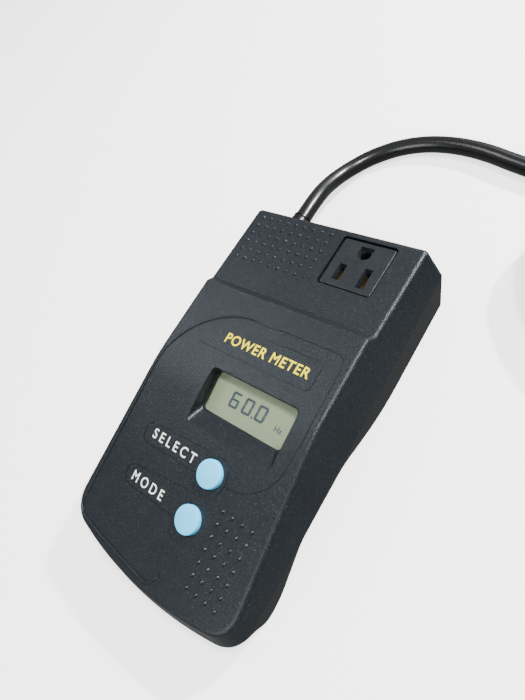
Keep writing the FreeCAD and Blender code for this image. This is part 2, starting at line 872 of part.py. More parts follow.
def main_board():
    board = slab(-main_x, main_x, main_y0, main_y1, main_z, main_top, main_corner)
    return board.cut([post(small_screw[0] + 0.1, x, y, main_z - 1, main_top + 1) for x, y in main_post_sites])


def main_screws():
    return Part.makeCompound([
        screw(small_screw, V(x, y, main_top), V(0, 0, -1), board_thickness + 4.5)
        for x, y in main_post_sites
    ])


def transformer_core():
    # a stack of laminations with a window each side of the middle leg
    w, h, t = core_size
    core = block(-w / 2, w / 2, -t / 2, t / 2, 0, h)
    windows = []
    for side in (-1, 1):
        x0, x1 = sorted((side * core_leg / 2, side * (w / 2 - core_leg / 2)))
        windows.append(block(x0, x1, -t, t, core_leg / 2, h - core_leg / 2))
    return core.cut(windows).translated(V(core_x, core_y, main_top))


def bobbin_frame(grow, z0, z1):
    w, h, t = core_size
    leg = core_leg / 2 + winding_play
    outer_x = core_leg / 2 + winding_play + grow
    outer_y = t / 2 + winding_play + grow
    ring = slab(-outer_x, outer_x, -outer_y, outer_y, z0, z1, 0.8)
    return ring.cut(block(-leg, leg, -t / 2 - winding_play, t / 2 + winding_play, z0 - 1, z1 + 1))


def transformer_bobbin():
    w, h, t = core_size
    low, high = core_leg / 2 + winding_play, h - core_leg / 2 - winding_play
    reach = (w - core_leg) / 2 - core_leg / 2 - 3 * winding_play
    shape = bobbin_frame(bobbin_wall, low, high)
    flanges = [bobbin_frame(reach, low, low + bobbin_wall), bobbin_frame(reach, high - bobbin_wall, high)]
    return shape.fuse(flanges).removeSplitter().translated(V(core_x, core_y, main_top))


def transformer_winding():
    w, h, t = core_size
    low = core_leg / 2 + winding_play + bobbin_wall
    high = h - low
    reach = (w - core_leg) / 2 - core_leg / 2 - 3 * winding_play - 0.4
    outer = bobbin_frame(reach, low, high)
    around = winding_play + bobbin_wall
    inner = slab(-core_leg / 2 - around, core_leg / 2 + around, -t / 2 - around, t / 2 + around,
                 low - 1, high + 1, 0.8)
    return outer.cut(inner).translated(V(core_x, core_y, main_top))


def fuse_axis_z():
    return main_top + fuse_radius + 1.4


def fuse():
    cap = fuse_radius + 0.2
    profile = [
        (0, 0), (cap - 0.4, 0), (cap, 0.4), (cap, 5), (fuse_radius, 5), (fuse_radius, fuse_length - 5),
        (cap, fuse_length - 5), (cap, fuse_length - 0.4), (cap - 0.4, fuse_length), (0, fuse_length),
    ]
    return turned(profile, V(fuse_x - fuse_length / 2, fuse_y, fuse_axis_z()), V(1, 0, 0))


def fuse_clips():
    clips = []
    cap = fuse_radius + 0.2
    for side in (-1, 1):
        x = fuse_x + side * (fuse_length / 2 - 2.6)
        ring = Part.makeCylinder(cap + 0.6, 3.6, V(x - 1.8, fuse_y, fuse_axis_z()), V(1, 0, 0))
        foot = block(x - 1.8, x + 1.8, fuse_y - 1.6, fuse_y + 1.6, main_top, fuse_axis_z())
        hollow = Part.makeCylinder(cap, 6, V(x - 3, fuse_y, fuse_axis_z()), V(1, 0, 0))
        mouth = block(x - 3, x + 3, fuse_y - 1.9, fuse_y + 1.9, fuse_axis_z() + 1, fuse_axis_z() + 6)
        clips.append(ring.fuse(foot).cut([hollow, mouth]))
    return Part.makeCompound(clips)


def current_shunt():
    # a bridge of resistance strip standing on the board
    w, h, t = shunt_size
    points = [V(-w / 2, 0, 0), V(-w / 2, 0, h), V(w / 2, 0, h), V(w / 2, 0, 0),
              V(w / 2 - t, 0, 0), V(w / 2 - t, 0, h - t), V(-w / 2 + t, 0, h - t), V(-w / 2 + t, 0, 0)]
    radii = [0, 2.5, 2.5, 0, 0, 2.5 - t, 2.5 - t, 0]
    return plate(points, V(0, shunt_width, 0), radii).translated(V(shunt_x, shunt_y, main_top))


def filter_capacitor():
    x, y = filter_place
    body = slab(x - 9, x + 9, y - 4, y + 4, main_top + 0.4, main_top + 14, 0.8)
    feet = [block(x + dx - 0.4, x + dx + 0.4, y - 0.4, y + 0.4, main_top, main_top + 1) for dx in (-7.5, 7.5)]
    return body.fuse(feet)


def reservoir_capacitors():
    cans = []
    for x, y, radius, height in reservoir_places:
        profile = [
            (0, 0), (radius - 0.3, 0), (radius, 0.3), (radius, 1.6), (radius - 0.5, 2.1), (radius, 2.6),
            (radius, height - 0.4), (radius - 0.4, height), (0, height),
        ]
        cans.append(turned(profile, V(x, y, main_top), V(0, 0, 1)))
    return Part.makeCompound(cans)


def surge_varistor():
    x, y = varistor_place
    disc = Part.makeCylinder(6.0, 4.2, V(x, y - 2.1, main_top + 8.2), V(0, 1, 0))
    disc = disc.makeFillet(1.2, disc.Edges)
    legs = [post(0.4, x + dx, y, main_top, main_top + 6) for dx in (-3.0, 3.0)]
    return disc.fuse(legs)


def voltage_regulator():
    x, y = regulator_place
    body = block(x - 5, x + 5, y, y + 4.2, main_top + 4, main_top + 13)
    tab = block(x - 5, x + 5, y + 2.9, y + 4.2, main_top + 13, main_top + 19)
    tab = tab.cut(Part.makeCylinder(1.8, 9, V(x, y, main_top + 16), V(0, 1, 0)))
    legs = [
        block(x + d - 0.4, x + d + 0.4, y + 1.2, y + 1.7, main_top, main_top + 4)
        for d in (-2.54, 0, 2.54)
    ]
    return body.fuse([tab] + legs)


def metering_chip():
    x, y = meter_chip_place
    return flat_chip(x, y, main_top, 10.3, 7.5, 1.9, 1.27, 8)


def terminal_block():
    x0, x1, y0, y1 = terminal_span
    body = block(x0, x1, y0, y1, main_top, main_top + 11)
    body = body.cut(plate([V(x0 - 1, y1 + 0.01, main_top + 8), V(x0 - 1, y1 + 0.01, main_top + 12),
                           V(x0 - 1, y1 - 4, main_top + 12)], V(x1 - x0 + 2, 0, 0)))
    cuts = []
    for x in wire_terminals:
        cuts.append(Part.makeCylinder(core_radius, 4, V(x, y1 - 4, terminal_z), V(0, 1, 0)))
        cuts.append(post(1.9, x, (y0 + y1) / 2 - 0.5, main_top + 8, main_top + 12))
    return body.cut(cuts)


def terminal_screws():
    x0, x1, y0, y1 = terminal_span
    return Part.makeCompound([
        screw((1.2, 1.8, 1.4), V(x, (y0 + y1) / 2 - 0.5, main_top + 9.4), V(0, 0, -1), 1.4)
        for x in wire_terminals
    ])


# ---- outlet -----------------------------------------------------------------------


def slot_cut(x, length):
    # a blade slot with a lead-in chute
    half_w, half_l = slot_width / 2, length / 2
    levels = []
    for z, grow in ((outlet_face_z - chute_depth, 0), (outlet_face_z + 0.01, chute_flare)):
        levels.append(outline(rectangle(x - half_w - grow, x + half_w + grow, blades_y - half_l - grow,
                                        blades_y + half_l + grow, z)))
    through = block(x - half_w, x + half_w, blades_y - half_l, blades_y + half_l,
                    outlet_face_z - face_thickness - 1, outlet_face_z)
    return Part.makeLoft(levels, True, True).fuse(through)


def ground_outline(radius, z):
    # round towards the blades, flat on the far side, where it still clears a round pin
    x, y = outlet_x, ground_place_y
    flat = y + radius
    arc = Part.Arc(V(x - radius, y, z), V(x, y - radius, z), V(x + radius, y, z)).toShape()
    return Part.Wire([
        arc, Part.makeLine(V(x + radius, y, z), V(x + radius, flat, z)),
        Part.makeLine(V(x + radius, flat, z), V(x - radius, flat, z)),
        Part.makeLine(V(x - radius, flat, z), V(x - radius, y, z)),
    ])


def outlet_body():
    x0, x1 = outlet_x - outlet_width / 2, outlet_x + outlet_width / 2
    y0, y1 = outlet_y - outlet_length / 2, outlet_y + outlet_length / 2
    body = slab(x0, x1, y0, y1, outlet_rear_z, outlet_face_z, outlet_corner)
    rim = rim_edges(body, lambda p, box: box.ZMin > outlet_face_z - 0.01)
    body = body.makeFillet(outlet_bevel, rim)
    half_ear = ear_width / 2
    ears = slab(outlet_x - ear_reach, outlet_x + ear_reach, outlet_y - half_ear, outlet_y + half_ear,
                ear_z, ear_z + ear_thickness, 1.5)
    cuts = [slot_cut(hot_x, hot_slot), slot_cut(neutral_x, neutral_slot)]
    levels = [ground_outline(ground_hole, outlet_face_z - chute_depth),
              ground_outline(ground_hole + chute_flare, outlet_face_z + 0.01)]
    cuts.append(Part.makeLoft(levels, True, True))
    cuts.append(post(ground_hole, outlet_x, ground_place_y,
                     outlet_rear_z - 1, outlet_face_z - chute_depth + 0.1))
    ceiling = outlet_face_z - face_thickness
    for x in (hot_x, neutral_x):
        cuts.append(block(x - chamber_width / 2, x + chamber_width / 2, blades_y - chamber_length / 2,
                          blades_y + chamber_length / 2, outlet_rear_z - 1, ceiling))
    cuts.append(block(outlet_x - 4.4, outlet_x + 4.4, ground_place_y - 3.6, ground_place_y + 3.6,
                      outlet_rear_z - 1, ground_chamber_top))
    for side in (-1, 1):
        cuts.append(post(small_screw[0] + 0.15, outlet_x + side * ear_screw, outlet_y, 0, 60))
    return body.fuse(ears).cut(cuts)


def tab_slots(grow):
    return [
        block(x - leaf / 2 - grow, x + leaf / 2 + grow, y - tab_width / 2 - grow, y + tab_width / 2 + grow,
              outlet_rear_z - back_plate - 1, outlet_rear_z + 1)
        for x, y in ((hot_x, blades_y), (neutral_x, blades_y), (outlet_x, ground_place_y))
    ]


def outlet_back():
    x0, x1 = outlet_x - outlet_width / 2, outlet_x + outlet_width / 2
    y0, y1 = outlet_y - outlet_length / 2, outlet_y + outlet_length / 2
    cover = slab(x0, x1, y0, y1, outlet_rear_z - back_plate, outlet_rear_z, outlet_corner)
    return cover.cut(tab_slots(0.15))


def outlet_screws():
    return Part.makeCompound([
        screw(small_screw, V(outlet_x + side * ear_screw, outlet_y, ear_z), V(0, 0, 1), ear_thickness + 4.5)
        for side in (-1, 1)
    ])


def contact(x, y, gap, width, top):
    # two sprung leaves joined by a bridge, with a wiring tab down through the back cover
    low = outlet_rear_z + 0.2
    half = gap / 2
    points = [
        V(-half - leaf, 0, low), V(-half - leaf, 0, top - 1.2), V(-half - leaf - 0.3, 0, top),
        V(-half - 0.3, 0, top), V(-half, 0, top - 1.2), V(-half, 0, low + leaf), V(half, 0, low + leaf),
        V(half, 0, top - 1.2), V(half + 0.3, 0, top), V(half + leaf + 0.3, 0, top),
        V(half + leaf, 0, top - 1.2), V(half + leaf, 0, low),
    ]
    leaves = plate(points, V(0, width, 0)).translated(V(x, y - width / 2, 0))
    tab = block(x - leaf / 2, x + leaf / 2, y - tab_width / 2, y + tab_width / 2, tab_z, low + leaf / 2)
    return leaves.fuse(tab).removeSplitter()


def hot_contact():
    return contact(hot_x, blades_y, blade_gap, 7.5, outlet_face_z - face_thickness - 0.6)


def neutral_contact():
    return contact(neutral_x, blades_y, blade_gap, 7.5, outlet_face_z - face_thickness - 0.6)


def ground_contact():
    return contact(outlet_x, ground_place_y, ground_gap, 5.0, ground_chamber_top - 0.6)


# ---- lead: what is inside the case ------------------------------------------------


def jacket_end_y():
    return half_length - end_wall_depth - relief_inside - jacket_inside


def jacket_end():
    return Part.makeCylinder(cord_radius, jacket_inside, V(cord_x, jacket_end_y(), cord_z), V(0, 1, 0))


def cord_clamp():
    x0, x1, y0, y1 = clamp_span()
    top = cord_z + clamp_height
    bar = block(x0, x1, y0, y1, cord_z, top)
    bar = bar.makeFillet(1.5, rim_edges(bar, lambda p, box: p.z > top - 0.1 and box.YLength > 1))
    channel = Part.makeCylinder(cord_radius, 9, V(cord_x, y0 - 2, cord_z), V(0, 1, 0))
    seat = cord_z + clamp_height / 2
    holes = [post(clamp_screw[0] + 0.1, x, clamp_y, cord_z - 1, top + 1) for x in clamp_screws()]
    seats = [post(clamp_screw[1] + 0.2, x, clamp_y, seat, top + 1) for x in clamp_screws()]
    return bar.cut([channel] + holes + seats)


def clamp_fixings():
    seat = cord_z + clamp_height / 2
    return Part.makeCompound([
        screw(clamp_screw, V(x, clamp_y, seat), V(0, 0, -1), seat - cord_z + 5.0) for x in clamp_screws()
    ])


def supply_wire(offset_x, offset_z, rise, terminal):
    y = jacket_end_y()
    x0, x1, y0, y1 = terminal_span
    return pipe([
        V(cord_x + offset_x, y, cord_z + offset_z), V(cord_x + offset_x, y - 4, cord_z + offset_z + rise),
        V(terminal, y1 + 5, terminal_z), V(terminal, y1 - 4, terminal_z),
    ], core_radius, 2.6)


def line_wire():
    return supply_wire(-2.2, -1.2, 0.0, wire_terminals[0])


def neutral_wire():
    return supply_wire(2.2, -1.2, 0.0, wire_terminals[1])


def ground_wire():
    y = jacket_end_y()
    end_x = outlet_x - leaf / 2
    return pipe([
        V(cord_x, y, cord_z + 2.6), V(cord_x, y - 5, cord_z + 3.2), V(cord_x + 9, y - 9, ground_wire_z),
        V(-5, y - 7, ground_wire_z), V(5, ground_place_y - 3, tab_wire_z + 1.5),
        V(end_x - 8, ground_place_y, tab_wire_z), V(end_x, ground_place_y, tab_wire_z),
    ], core_radius, 3.0)


def feed_wire(board_x, board_y, end_x):
    turn = math.copysign(6.5, end_x - board_x)
    return pipe([
        V(board_x, board_y, main_top), V(board_x, board_y, tab_wire_z + 0.6),
        V(board_x + turn * 0.3, blades_y - 2, tab_wire_z), V(end_x - turn, blades_y, tab_wire_z),
        V(end_x, blades_y, tab_wire_z),
    ], core_radius - 0.3, [0, 1.6, 2.5, 2.5, 0])


def outlet_line_wire():
    return feed_wire(1.0, 64.0, hot_x - leaf / 2)


def outlet_neutral_wire():
    return feed_wire(38.5, 60.0, neutral_x + leaf / 2)


# ---- lead: what lies outside ------------------------------------------------------


def strain_relief():
    # moulded on to the lead: plug inside the wall, neck through it, flange and ribbed taper outside
    inside = end_wall_depth + relief_inside
    taper = relief_length - 2.0
    profile = [(0, -inside), (relief_flange - 0.4, -inside), (relief_flange - 0.4, -end_wall_depth - 0.2),
               (relief_neck, -end_wall_depth - 0.2), (relief_neck, 0.15), (relief_flange, 0.15),
               (relief_flange, 1.6), (relief_neck + 0.3, 2.0)]
    ribs = 4
    for i in range(ribs):
        y = 2.0 + taper * (i + 0.55) / ribs
        radius = relief_neck + (relief_nose - relief_neck) * (y - 2.0) / taper
        profile += [(radius, y - 0.7), (radius - 0.45, y - 0.5), (radius - 0.45, y + 0.5), (radius, y + 0.7)]
    profile += [(relief_nose, relief_length), (0, relief_length)]
    body = turned(profile, V(cord_x, half_length, cord_z), V(0, 1, 0))
    core = Part.makeCylinder(cord_radius, 30, V(cord_x, half_length - 40, cord_z), V(0, 1, 0))
    return body.cut(core.common(block(-60, 0, 0, half_length - end_wall_depth, 0, 40)))


def run_radii(points):
    # each arc as large as its two runs allow
    radii = [0]
    for before, corner, after in zip(points, points[1:], points[2:]):
        arrive, leave = corner - before, after - corner
        turn = arrive.getAngle(leave)
        radii.append(0.45 * min(arrive.Length, leave.Length) / math.tan(turn / 2))
    return radii + [0]


def free_tube(name, points):
    radii = run_radii(points)
    path = Part.Wire(rounded_edges(points, radii, False))
    ring = Part.Wire(Part.makeCircle(cord_radius, points[0], points[1] - points[0]))
    tube = path.makePipeShell([ring], True, False)
    ideal = math.pi * cord_radius ** 2 * path.Length
    print(name, "bend radii", [round(r) for r in radii[1:-1]])
    print(name, "runs", [round((b - a).Length) for a, b in zip(points, points[1:])])
    print(name, "length", round(path.Length, 1), "volume over ideal", round(tube.Volume / ideal, 4))
    return tube


def coil_point(degrees, z):
    angle = math.radians(degrees)
    return V(coil_x + coil_turn_radius * math.cos(angle), coil_y + coil_turn_radius * math.sin(angle), z)


def power_cord():
    floor = cord_radius
    points = [
        V(cord_x, half_length + relief_length, cord_z),
        V(-40.8, 120.8, 15.9),
        V(-43.5, 136.8, 10.4),
        V(-41.2, 152.2, 5.9),
        V(-32.4, 166.3, floor),
        V(-17.2, 177.2, floor),
        V(2.0, 182.4, floor),
        V(25.5, 181.4, floor),
        V(50.5, 174.2, floor),
        V(75.0, 169.3, floor + 0.1),
        V(96.5, 172.4, floor + 0.5),
        coil_point(coil_start, floor + coil_lift),
    ]
    return free_tube("power_cord", points)


def cord_coil():
    # the wound length as one ring, with the last part of a turn lying on top
    inner = coil_turn_radius - cord_radius - coil_play
    outer = coil_turn_radius + cord_radius + coil_play
    top = coil_lift + coil_layers * coil_pitch
    ring = post(outer, coil_x, coil_y, coil_lift, top).cut(post(inner, coil_x, coil_y, 0, 60))
    section = [V(r, 0, z) for r, z in ((inner, top - 1), (outer, top - 1), (outer, top + cord_diameter),
                                       (inner, top + cord_diameter))]
    layer = Part.Face(outline(section)).revolve(V(0, 0, 0), V(0, 0, 1), coil_top_start - coil_end)
    layer.rotate(V(0, 0, 0), V(0, 0, 1), coil_end)
    return ring.fuse(layer.translated(V(coil_x, coil_y, 0))).removeSplitter()


def cord_tail():
    top = coil_lift + (coil_layers + 0.5) * coil_pitch
    points = [
        coil_point(coil_end, top),
        V(179.6, 110.7, top),
        V(177.4, 93.8, top - 2.0),
        V(174.4, 77.8, top - 7.4),
        plug_point(-plug_tail),
    ]
    return free_tube("cord_tail", points)


def coil_tie():
    # a strap round the wound turns
    inner = coil_turn_radius - cord_radius - coil_play - tie_play
    outer = coil_turn_radius + cord_radius + coil_play + tie_play
    top = coil_lift + coil_layers * coil_pitch + tie_play
    low = coil_lift - tie_play / 2
    half = tie_width / 2
    strap = slab(inner - tie_thickness, outer + tie_thickness, -half, half, low / 2, top + tie_thickness, 0)
    strap = strap.cut(block(inner, outer, -tie_width, tie_width, low, top))
    strap.rotate(V(0, 0, 0), V(0, 0, 1), tie_angle)
    return strap.translated(V(coil_x, coil_y, 0))


# ---- plug ---------------------------------------------------------------------------


def plug_point(along):
    return plug_place.multVec(V(along, 0, 0))


def on_plug(shape):
    return shape.transformed(plug_place.toMatrix())


def plug_body():
    # along +X in its own frame: a tapered tail that grips the lead, then a grip that widens to the face
    sections = []
    for x, half_w, half_h, corner in plug_sections:
        corners = [V(x, -half_w, -half_h), V(x, half_w, -half_h), V(x, half_w, half_h), V(x, -half_w, half_h)]
        sections.append(outline(corners, [corner] * 4))
    grip = Part.makeLoft(sections, True, True)
    tail = Part.makeCone(cord_radius + 0.6, plug_sections[0][1] - 0.3, plug_tail,
                         V(-plug_tail, 0, 0), V(1, 0, 0))
    return on_plug(grip.fuse(tail))


def plug_blades():
    face = plug_sections[-1][0]
    group = []
    for side in (-1, 1):
        y = side * blade_pitch / 2
        blade = block(face, face + blade_length, y - blade_thickness / 2, y + blade_thickness / 2,
                      blade_height - blade_width / 2, blade_height + blade_width / 2)
        tips = rim_edges(blade, lambda p, box: p.x > face + blade_length - 0.01 and box.YLength > 1)
        blade = blade.makeFillet(blade_width * 0.35, tips)
        hole = Part.makeCylinder(1.6, 20, V(face + blade_length - 4.5, y - 10, blade_height), V(0, 1, 0))
        group.append(on_plug(blade.cut(hole)))
    return Part.makeCompound(group)


def plug_ground_pin():
    face = plug_sections[-1][0]
    profile = [(0, 0), (pin_radius, 0), (pin_radius, pin_length - 2), (pin_radius * 0.6, pin_length - 0.4),
               (pin_radius * 0.25, pin_length), (0, pin_length)]
    pin = turned(profile, V(face, 0, blade_height + pin_offset), V(1, 0, 0))
    return on_plug(pin)


# ---- the whole meter ------------------------------------------------------------------


def select_button():
    return button(select_u)


def mode_button():
    return button(mode_u)


def select_plunger():
    return plunger(select_u)


def mode_plunger():
    return plunger(mode_u)


def select_switch():
    return switch(select_u)


def mode_switch():
    return switch(mode_u)


makers = [
    front_shell, back_shell, case_screws,
    outlet_body, outlet_back, outlet_screws, hot_contact, neutral_contact, ground_contact,
    display_lens, display_glass, display_reflector, display_holder, zebra_strips,
    display_board, display_screws, microcontroller, crystal, upper_header, lower_header, ribbon_cable,
    select_button, select_plunger, select_switch, mode_button, mode_plunger, mode_switch,
    main_board, main_screws, transformer_core, transformer_bobbin, transformer_winding,
    fuse, fuse_clips, current_shunt, filter_capacitor, reservoir_capacitors, surge_varistor,
    voltage_regulator, metering_chip, terminal_block, terminal_screws,
    jacket_end, cord_clamp, clamp_fixings, line_wire, neutral_wire, ground_wire,
    outlet_line_wire, outlet_neutral_wire,
    strain_relief, power_cord, cord_coil, cord_tail, coil_tie, plug_body, plug_blades, plug_ground_pin,
]

os.makedirs("parts", exist_ok=True)
for maker in makers:
    shape = maker()
    shape.exportStep("parts/" + maker.__name__ + ".step")
    if not shape.isValid():
        print(maker.__name__, "is not a valid solid")
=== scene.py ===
import bpy
import json
import math
from mathutils import Matrix, Vector


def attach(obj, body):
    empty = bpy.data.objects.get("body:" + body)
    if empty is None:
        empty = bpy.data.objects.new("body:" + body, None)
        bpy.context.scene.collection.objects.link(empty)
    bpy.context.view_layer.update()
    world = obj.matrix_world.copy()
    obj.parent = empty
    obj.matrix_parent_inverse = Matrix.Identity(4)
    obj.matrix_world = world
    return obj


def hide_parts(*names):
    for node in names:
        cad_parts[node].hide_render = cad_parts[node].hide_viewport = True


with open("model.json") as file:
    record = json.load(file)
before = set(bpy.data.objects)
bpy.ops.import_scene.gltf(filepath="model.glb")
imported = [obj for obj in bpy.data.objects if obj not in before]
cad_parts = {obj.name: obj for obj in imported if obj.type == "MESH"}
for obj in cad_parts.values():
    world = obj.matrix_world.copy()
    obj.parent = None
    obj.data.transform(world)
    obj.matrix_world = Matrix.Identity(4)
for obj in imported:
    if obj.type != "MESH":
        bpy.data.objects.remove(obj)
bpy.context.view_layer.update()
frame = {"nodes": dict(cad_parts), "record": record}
mm = 0.001
print("frame loaded")

# camera

camera = {
    "place": (136.76, -28.82, 225.07),
    "turn": (30.603, 23.216, 35.465),
    "lens": 27.55,
    "nearest": 0.01,
}


def makeCamera():
    bpy.ops.object.camera_add(
        location=[v * mm for v in camera["place"]],
        rotation=[math.radians(v) for v in camera["turn"]],
    )
    made = bpy.context.object
    made.data.lens = camera["lens"]
    made.data.clip_start = camera["nearest"]
    bpy.context.scene.camera = made


makeCamera()

# the lead: down to the table and along it, its wound turns, and its way to the plug

lead = {
    "diameter": 9.0,
    "length": 1.02,
    "route": [
        (-39.5, 106.5, 17.0), (-40.8, 120.8, 15.9), (-43.5, 136.8, 10.4), (-41.2, 152.2, 5.9),
        (-32.4, 166.3, 4.5), (-17.2, 177.2, 4.5), (2.0, 182.4, 4.5), (25.5, 181.4, 4.5),
        (50.5, 174.2, 4.5), (75.0, 169.3, 4.6), (96.5, 172.4, 5.0),
    ],
    "coilCentre": (131.0, 132.0),
    "coilRadius": 50.0,
    "coilStart": 110.0,
    "coilEnd": -5.0,
    "turns": 2,
    "perTurn": 18,
    "firstHeight": 5.3,
    "layer": 9.3,
    "climbFrom": 255.0,     # degrees into each turn, clear of where the lead comes in
    "climbTo": 315.0,
    "tail": [
        (179.6, 110.7, 24.05), (177.4, 93.8, 22.05), (174.4, 77.8, 16.65), (170.81, 63.03, 12.6),
        (169.9, 59.9, 12.6),
    ],
    "order": 3,
    "lengthSteps": 8,
    "roundSteps": 6,
}


def coilHeight(progress):
    whole, rest = divmod(progress, 360)
    climb = (rest - lead["climbFrom"]) / (lead["climbTo"] - lead["climbFrom"])
    climb = min(max(climb, 0), 1)
    return lead["firstHeight"] + lead["layer"] * (whole + climb)


def coilPoints():
    # control points stand a little outside the circle that the curve follows
    step = 360 / lead["perTurn"]
    radius = lead["coilRadius"] / math.cos(math.radians(step / 2))
    sweep = 360 * lead["turns"] + lead["coilStart"] - lead["coilEnd"]
    count = round(sweep / step)
    points = []
    for i in range(count + 1):
        progress = sweep * i / count
        angle = math.radians(lead["coilStart"] - progress)
        points.append((
            lead["coilCentre"][0] + radius * math.cos(angle),
            lead["coilCentre"][1] + radius * math.sin(angle),
            coilHeight(progress),
        ))
    return points


def makeRod(name, kind, points, radius, roundSteps):
    # a round rod along a line of points, with closed ends
    data = bpy.data.curves.new(name, "CURVE")
    data.dimensions = "3D"
    spline = data.splines.new(kind)
    spline.points.add(len(points) - 1)
    for point, place in zip(spline.points, points):
        point.co = [v * mm for v in place] + [1.0]
    data.bevel_depth = radius * mm
    data.bevel_resolution = roundSteps
    data.use_fill_caps = True
    made = bpy.data.objects.new(name, data)
    bpy.context.scene.collection.objects.link(made)
    return made, spline


def makeLead():
    points = lead["route"] + coilPoints() + lead["tail"]
    made, spline = makeRod("mains_lead", "NURBS", points, lead["diameter"] / 2, lead["roundSteps"])
    spline.order_u = lead["order"]
    spline.use_endpoint_u = True
    spline.resolution_u = lead["lengthSteps"]
    return made


leadPiece = makeLead()
print("camera and lead made")

# tools for materials


def linear(hexColour):
    parts = [int(hexColour[i:i + 2], 16) / 255 for i in (1, 3, 5)]
    return [c / 12.92 if c <= 0.04045 else ((c + 0.055) / 1.055) ** 2.4 for c in parts] + [1.0]


def addNode(tree, kind, settings, links=None):
    node = tree.nodes.new(kind)
    for name, value in settings.items():
        if name in node.inputs:
            node.inputs[name].default_value = value
        else:
            setattr(node, name, value)
    for socket, source in (links or {}).items():
        tree.links.new(source, node.inputs[socket])
    return node


def startMaterial(name):
    material = bpy.data.materials.new(name)
    material.use_nodes = True
    tree = material.node_tree
    tree.nodes.clear()
    place = addNode(tree, "ShaderNodeTexCoord", {}).outputs["Object"]
    return material, tree, place


def endMaterial(tree, surface, links):
    shader = addNode(tree, "ShaderNodeBsdfPrincipled", surface, links)
    addNode(tree, "ShaderNodeOutputMaterial", {}, {"Surface": shader.outputs["BSDF"]})


def addNoise(tree, place, scale, detail):
    noise = addNode(tree, "ShaderNodeTexNoise", {"Scale": scale, "Detail": detail}, {"Vector": place})
    return noise.outputs["Fac"]


def addRange(tree, value, source=(0, 1), target=(0, 1)):
    # lays one run of values over another
    ends = {"From Min": source[0], "From Max": source[1], "To Min": target[0], "To Max": target[1]}
    return addNode(tree, "ShaderNodeMapRange", ends, {"Value": value}).outputs["Result"]


def addBlend(tree, amount, first, second):
    # each colour is a hex text or another node's output
    settings = {}
    links = {"Fac": amount}
    for socket, colour in (("Color1", first), ("Color2", second)):
        if isinstance(colour, str):
            settings[socket] = linear(colour)
        else:
            links[socket] = colour
    return addNode(tree, "ShaderNodeMixRGB", settings, links).outputs["Color"]


def addBump(tree, height, strength, depth):
    settings = {"Strength": strength, "Distance": depth * mm}
    return addNode(tree, "ShaderNodeBump", settings, {"Height": height}).outputs["Normal"]


def addShine(tree, fine, look, spread):
    # roughness that follows the fine grain
    return addRange(tree, fine, target=[look["rough"] + v for v in spread])


outlook = {"fineDetail": 3.0, "slowDetail": 2.0}


def addOutlook(tree, place, look):
    # the shared start of every finish: fine grain, and slow unevenness over the piece
    fine = addNoise(tree, place, 1 / (look["grain"] * mm), outlook["fineDetail"])
    slow = addNoise(tree, place, 1 / (look["patch"] * mm), outlook["slowDetail"])
    return fine, slow


# materials

plastic = {
    "toneEnds": (0.35, 0.65),
    # where the painted highlight on the highest grains begins and where it is full
    "paintedGlintEnds": (0.63, 0.72),
    "pitDepth": 0.25,       # part of the grain's size
    "spread": (-0.08, 0.1),
    "gloss": 0.5,
    "sheenTint": "#ffffff",
    "ior": 1.53,
}


def mouldedPlastic(name, look):
    # moulded in a textured tool: a fine even grain that breaks the sheen into sparkle, with painted
    # highlights on the highest grains
    material, tree, place = startMaterial(name)
    fine, slow = addOutlook(tree, place, look)
    tone = addRange(tree, slow, plastic["toneEnds"])
    colour = addBlend(tree, tone, look["colour"], look["second"])
    # the highest grains are painted lighter: a painted highlight standing in for the light they catch
    paintedGlintMask = addRange(tree, fine, plastic["paintedGlintEnds"])
    grained = addBlend(tree, paintedGlintMask, colour, look.get("paintedGlint", look["colour"]))
    pitted = {"Scale": 1 / (look["grain"] * mm), "feature": "SMOOTH_F1"}
    pits = addNode(tree, "ShaderNodeTexVoronoi", pitted, {"Vector": place})
    relief = addNode(tree, "ShaderNodeMath", {"operation": "ADD"})
    tree.links.new(pits.outputs["Distance"], relief.inputs[0])
    tree.links.new(fine, relief.inputs[1])
    bump = addBump(tree, relief.outputs["Value"], look["relief"], look["grain"] * plastic["pitDepth"])
    shine = addShine(tree, fine, look, plastic["spread"])
    surface = {
        "IOR": plastic["ior"],
        "Specular IOR Level": look.get("gloss", plastic["gloss"]),
        "Specular Tint": linear(look.get("sheenTint", plastic["sheenTint"])),
    }
    endMaterial(tree, surface, {"Base Color": grained, "Roughness": shine, "Normal": bump})
    return material


metal = {"spread": (-0.08, 0.12), "lineDepth": 0.02}


def worked(name, look):
    # rolled, drawn or stamped metal: fine lines along one way, and a thin plated skin
    material, tree, place = startMaterial(name)
    along = addNode(tree, "ShaderNodeMapping", {"Scale": look["lines"]}, {"Vector": place})
    fine, slow = addOutlook(tree, along.outputs["Vector"], look)
    colour = addBlend(tree, slow, look["colour"], look["second"])
    shine = addShine(tree, fine, look, metal["spread"])
    bump = addBump(tree, fine, look["relief"], metal["lineDepth"])
    endMaterial(tree, {"Metallic": 1.0}, {"Base Color": colour, "Roughness": shine, "Normal": bump})
    return material


stripe = {
    "wavePeriod": 0.314,    # a wave texture repeats at this much of its own unit
    "wornEnds": (0.5, 0.8),
    "wornMost": 0.4,
    "depth": 0.2,           # part of the pitch
    "spread": (-0.06, 0.08),
}


def striped(name, look):
    # what is built up of layers or threads side by side: laminations, tape, ribbon, woven straps
    material, tree, place = startMaterial(name)
    fine, slow = addOutlook(tree, place, look)
    waves = {
        "Scale": stripe["wavePeriod"] / (look["pitch"] * mm),
        "bands_direction": look["across"],
        "Distortion": look["wander"],
    }
    bands = addNode(tree, "ShaderNodeTexWave", waves, {"Vector": place}).outputs["Fac"]
    colour = addBlend(tree, bands, look["second"], look["colour"])
    faded = addRange(tree, slow, stripe["wornEnds"], (0, stripe["wornMost"]))
    worn = addBlend(tree, faded, colour, look["worn"])
    bump = addBump(tree, bands, look["relief"], look["pitch"] * stripe["depth"])
    shine = addShine(tree, fine, look, stripe["spread"])
    endMaterial(tree, {"Metallic": look["metal"]}, {"Base Color": worn, "Roughness": shine, "Normal": bump})
    return material


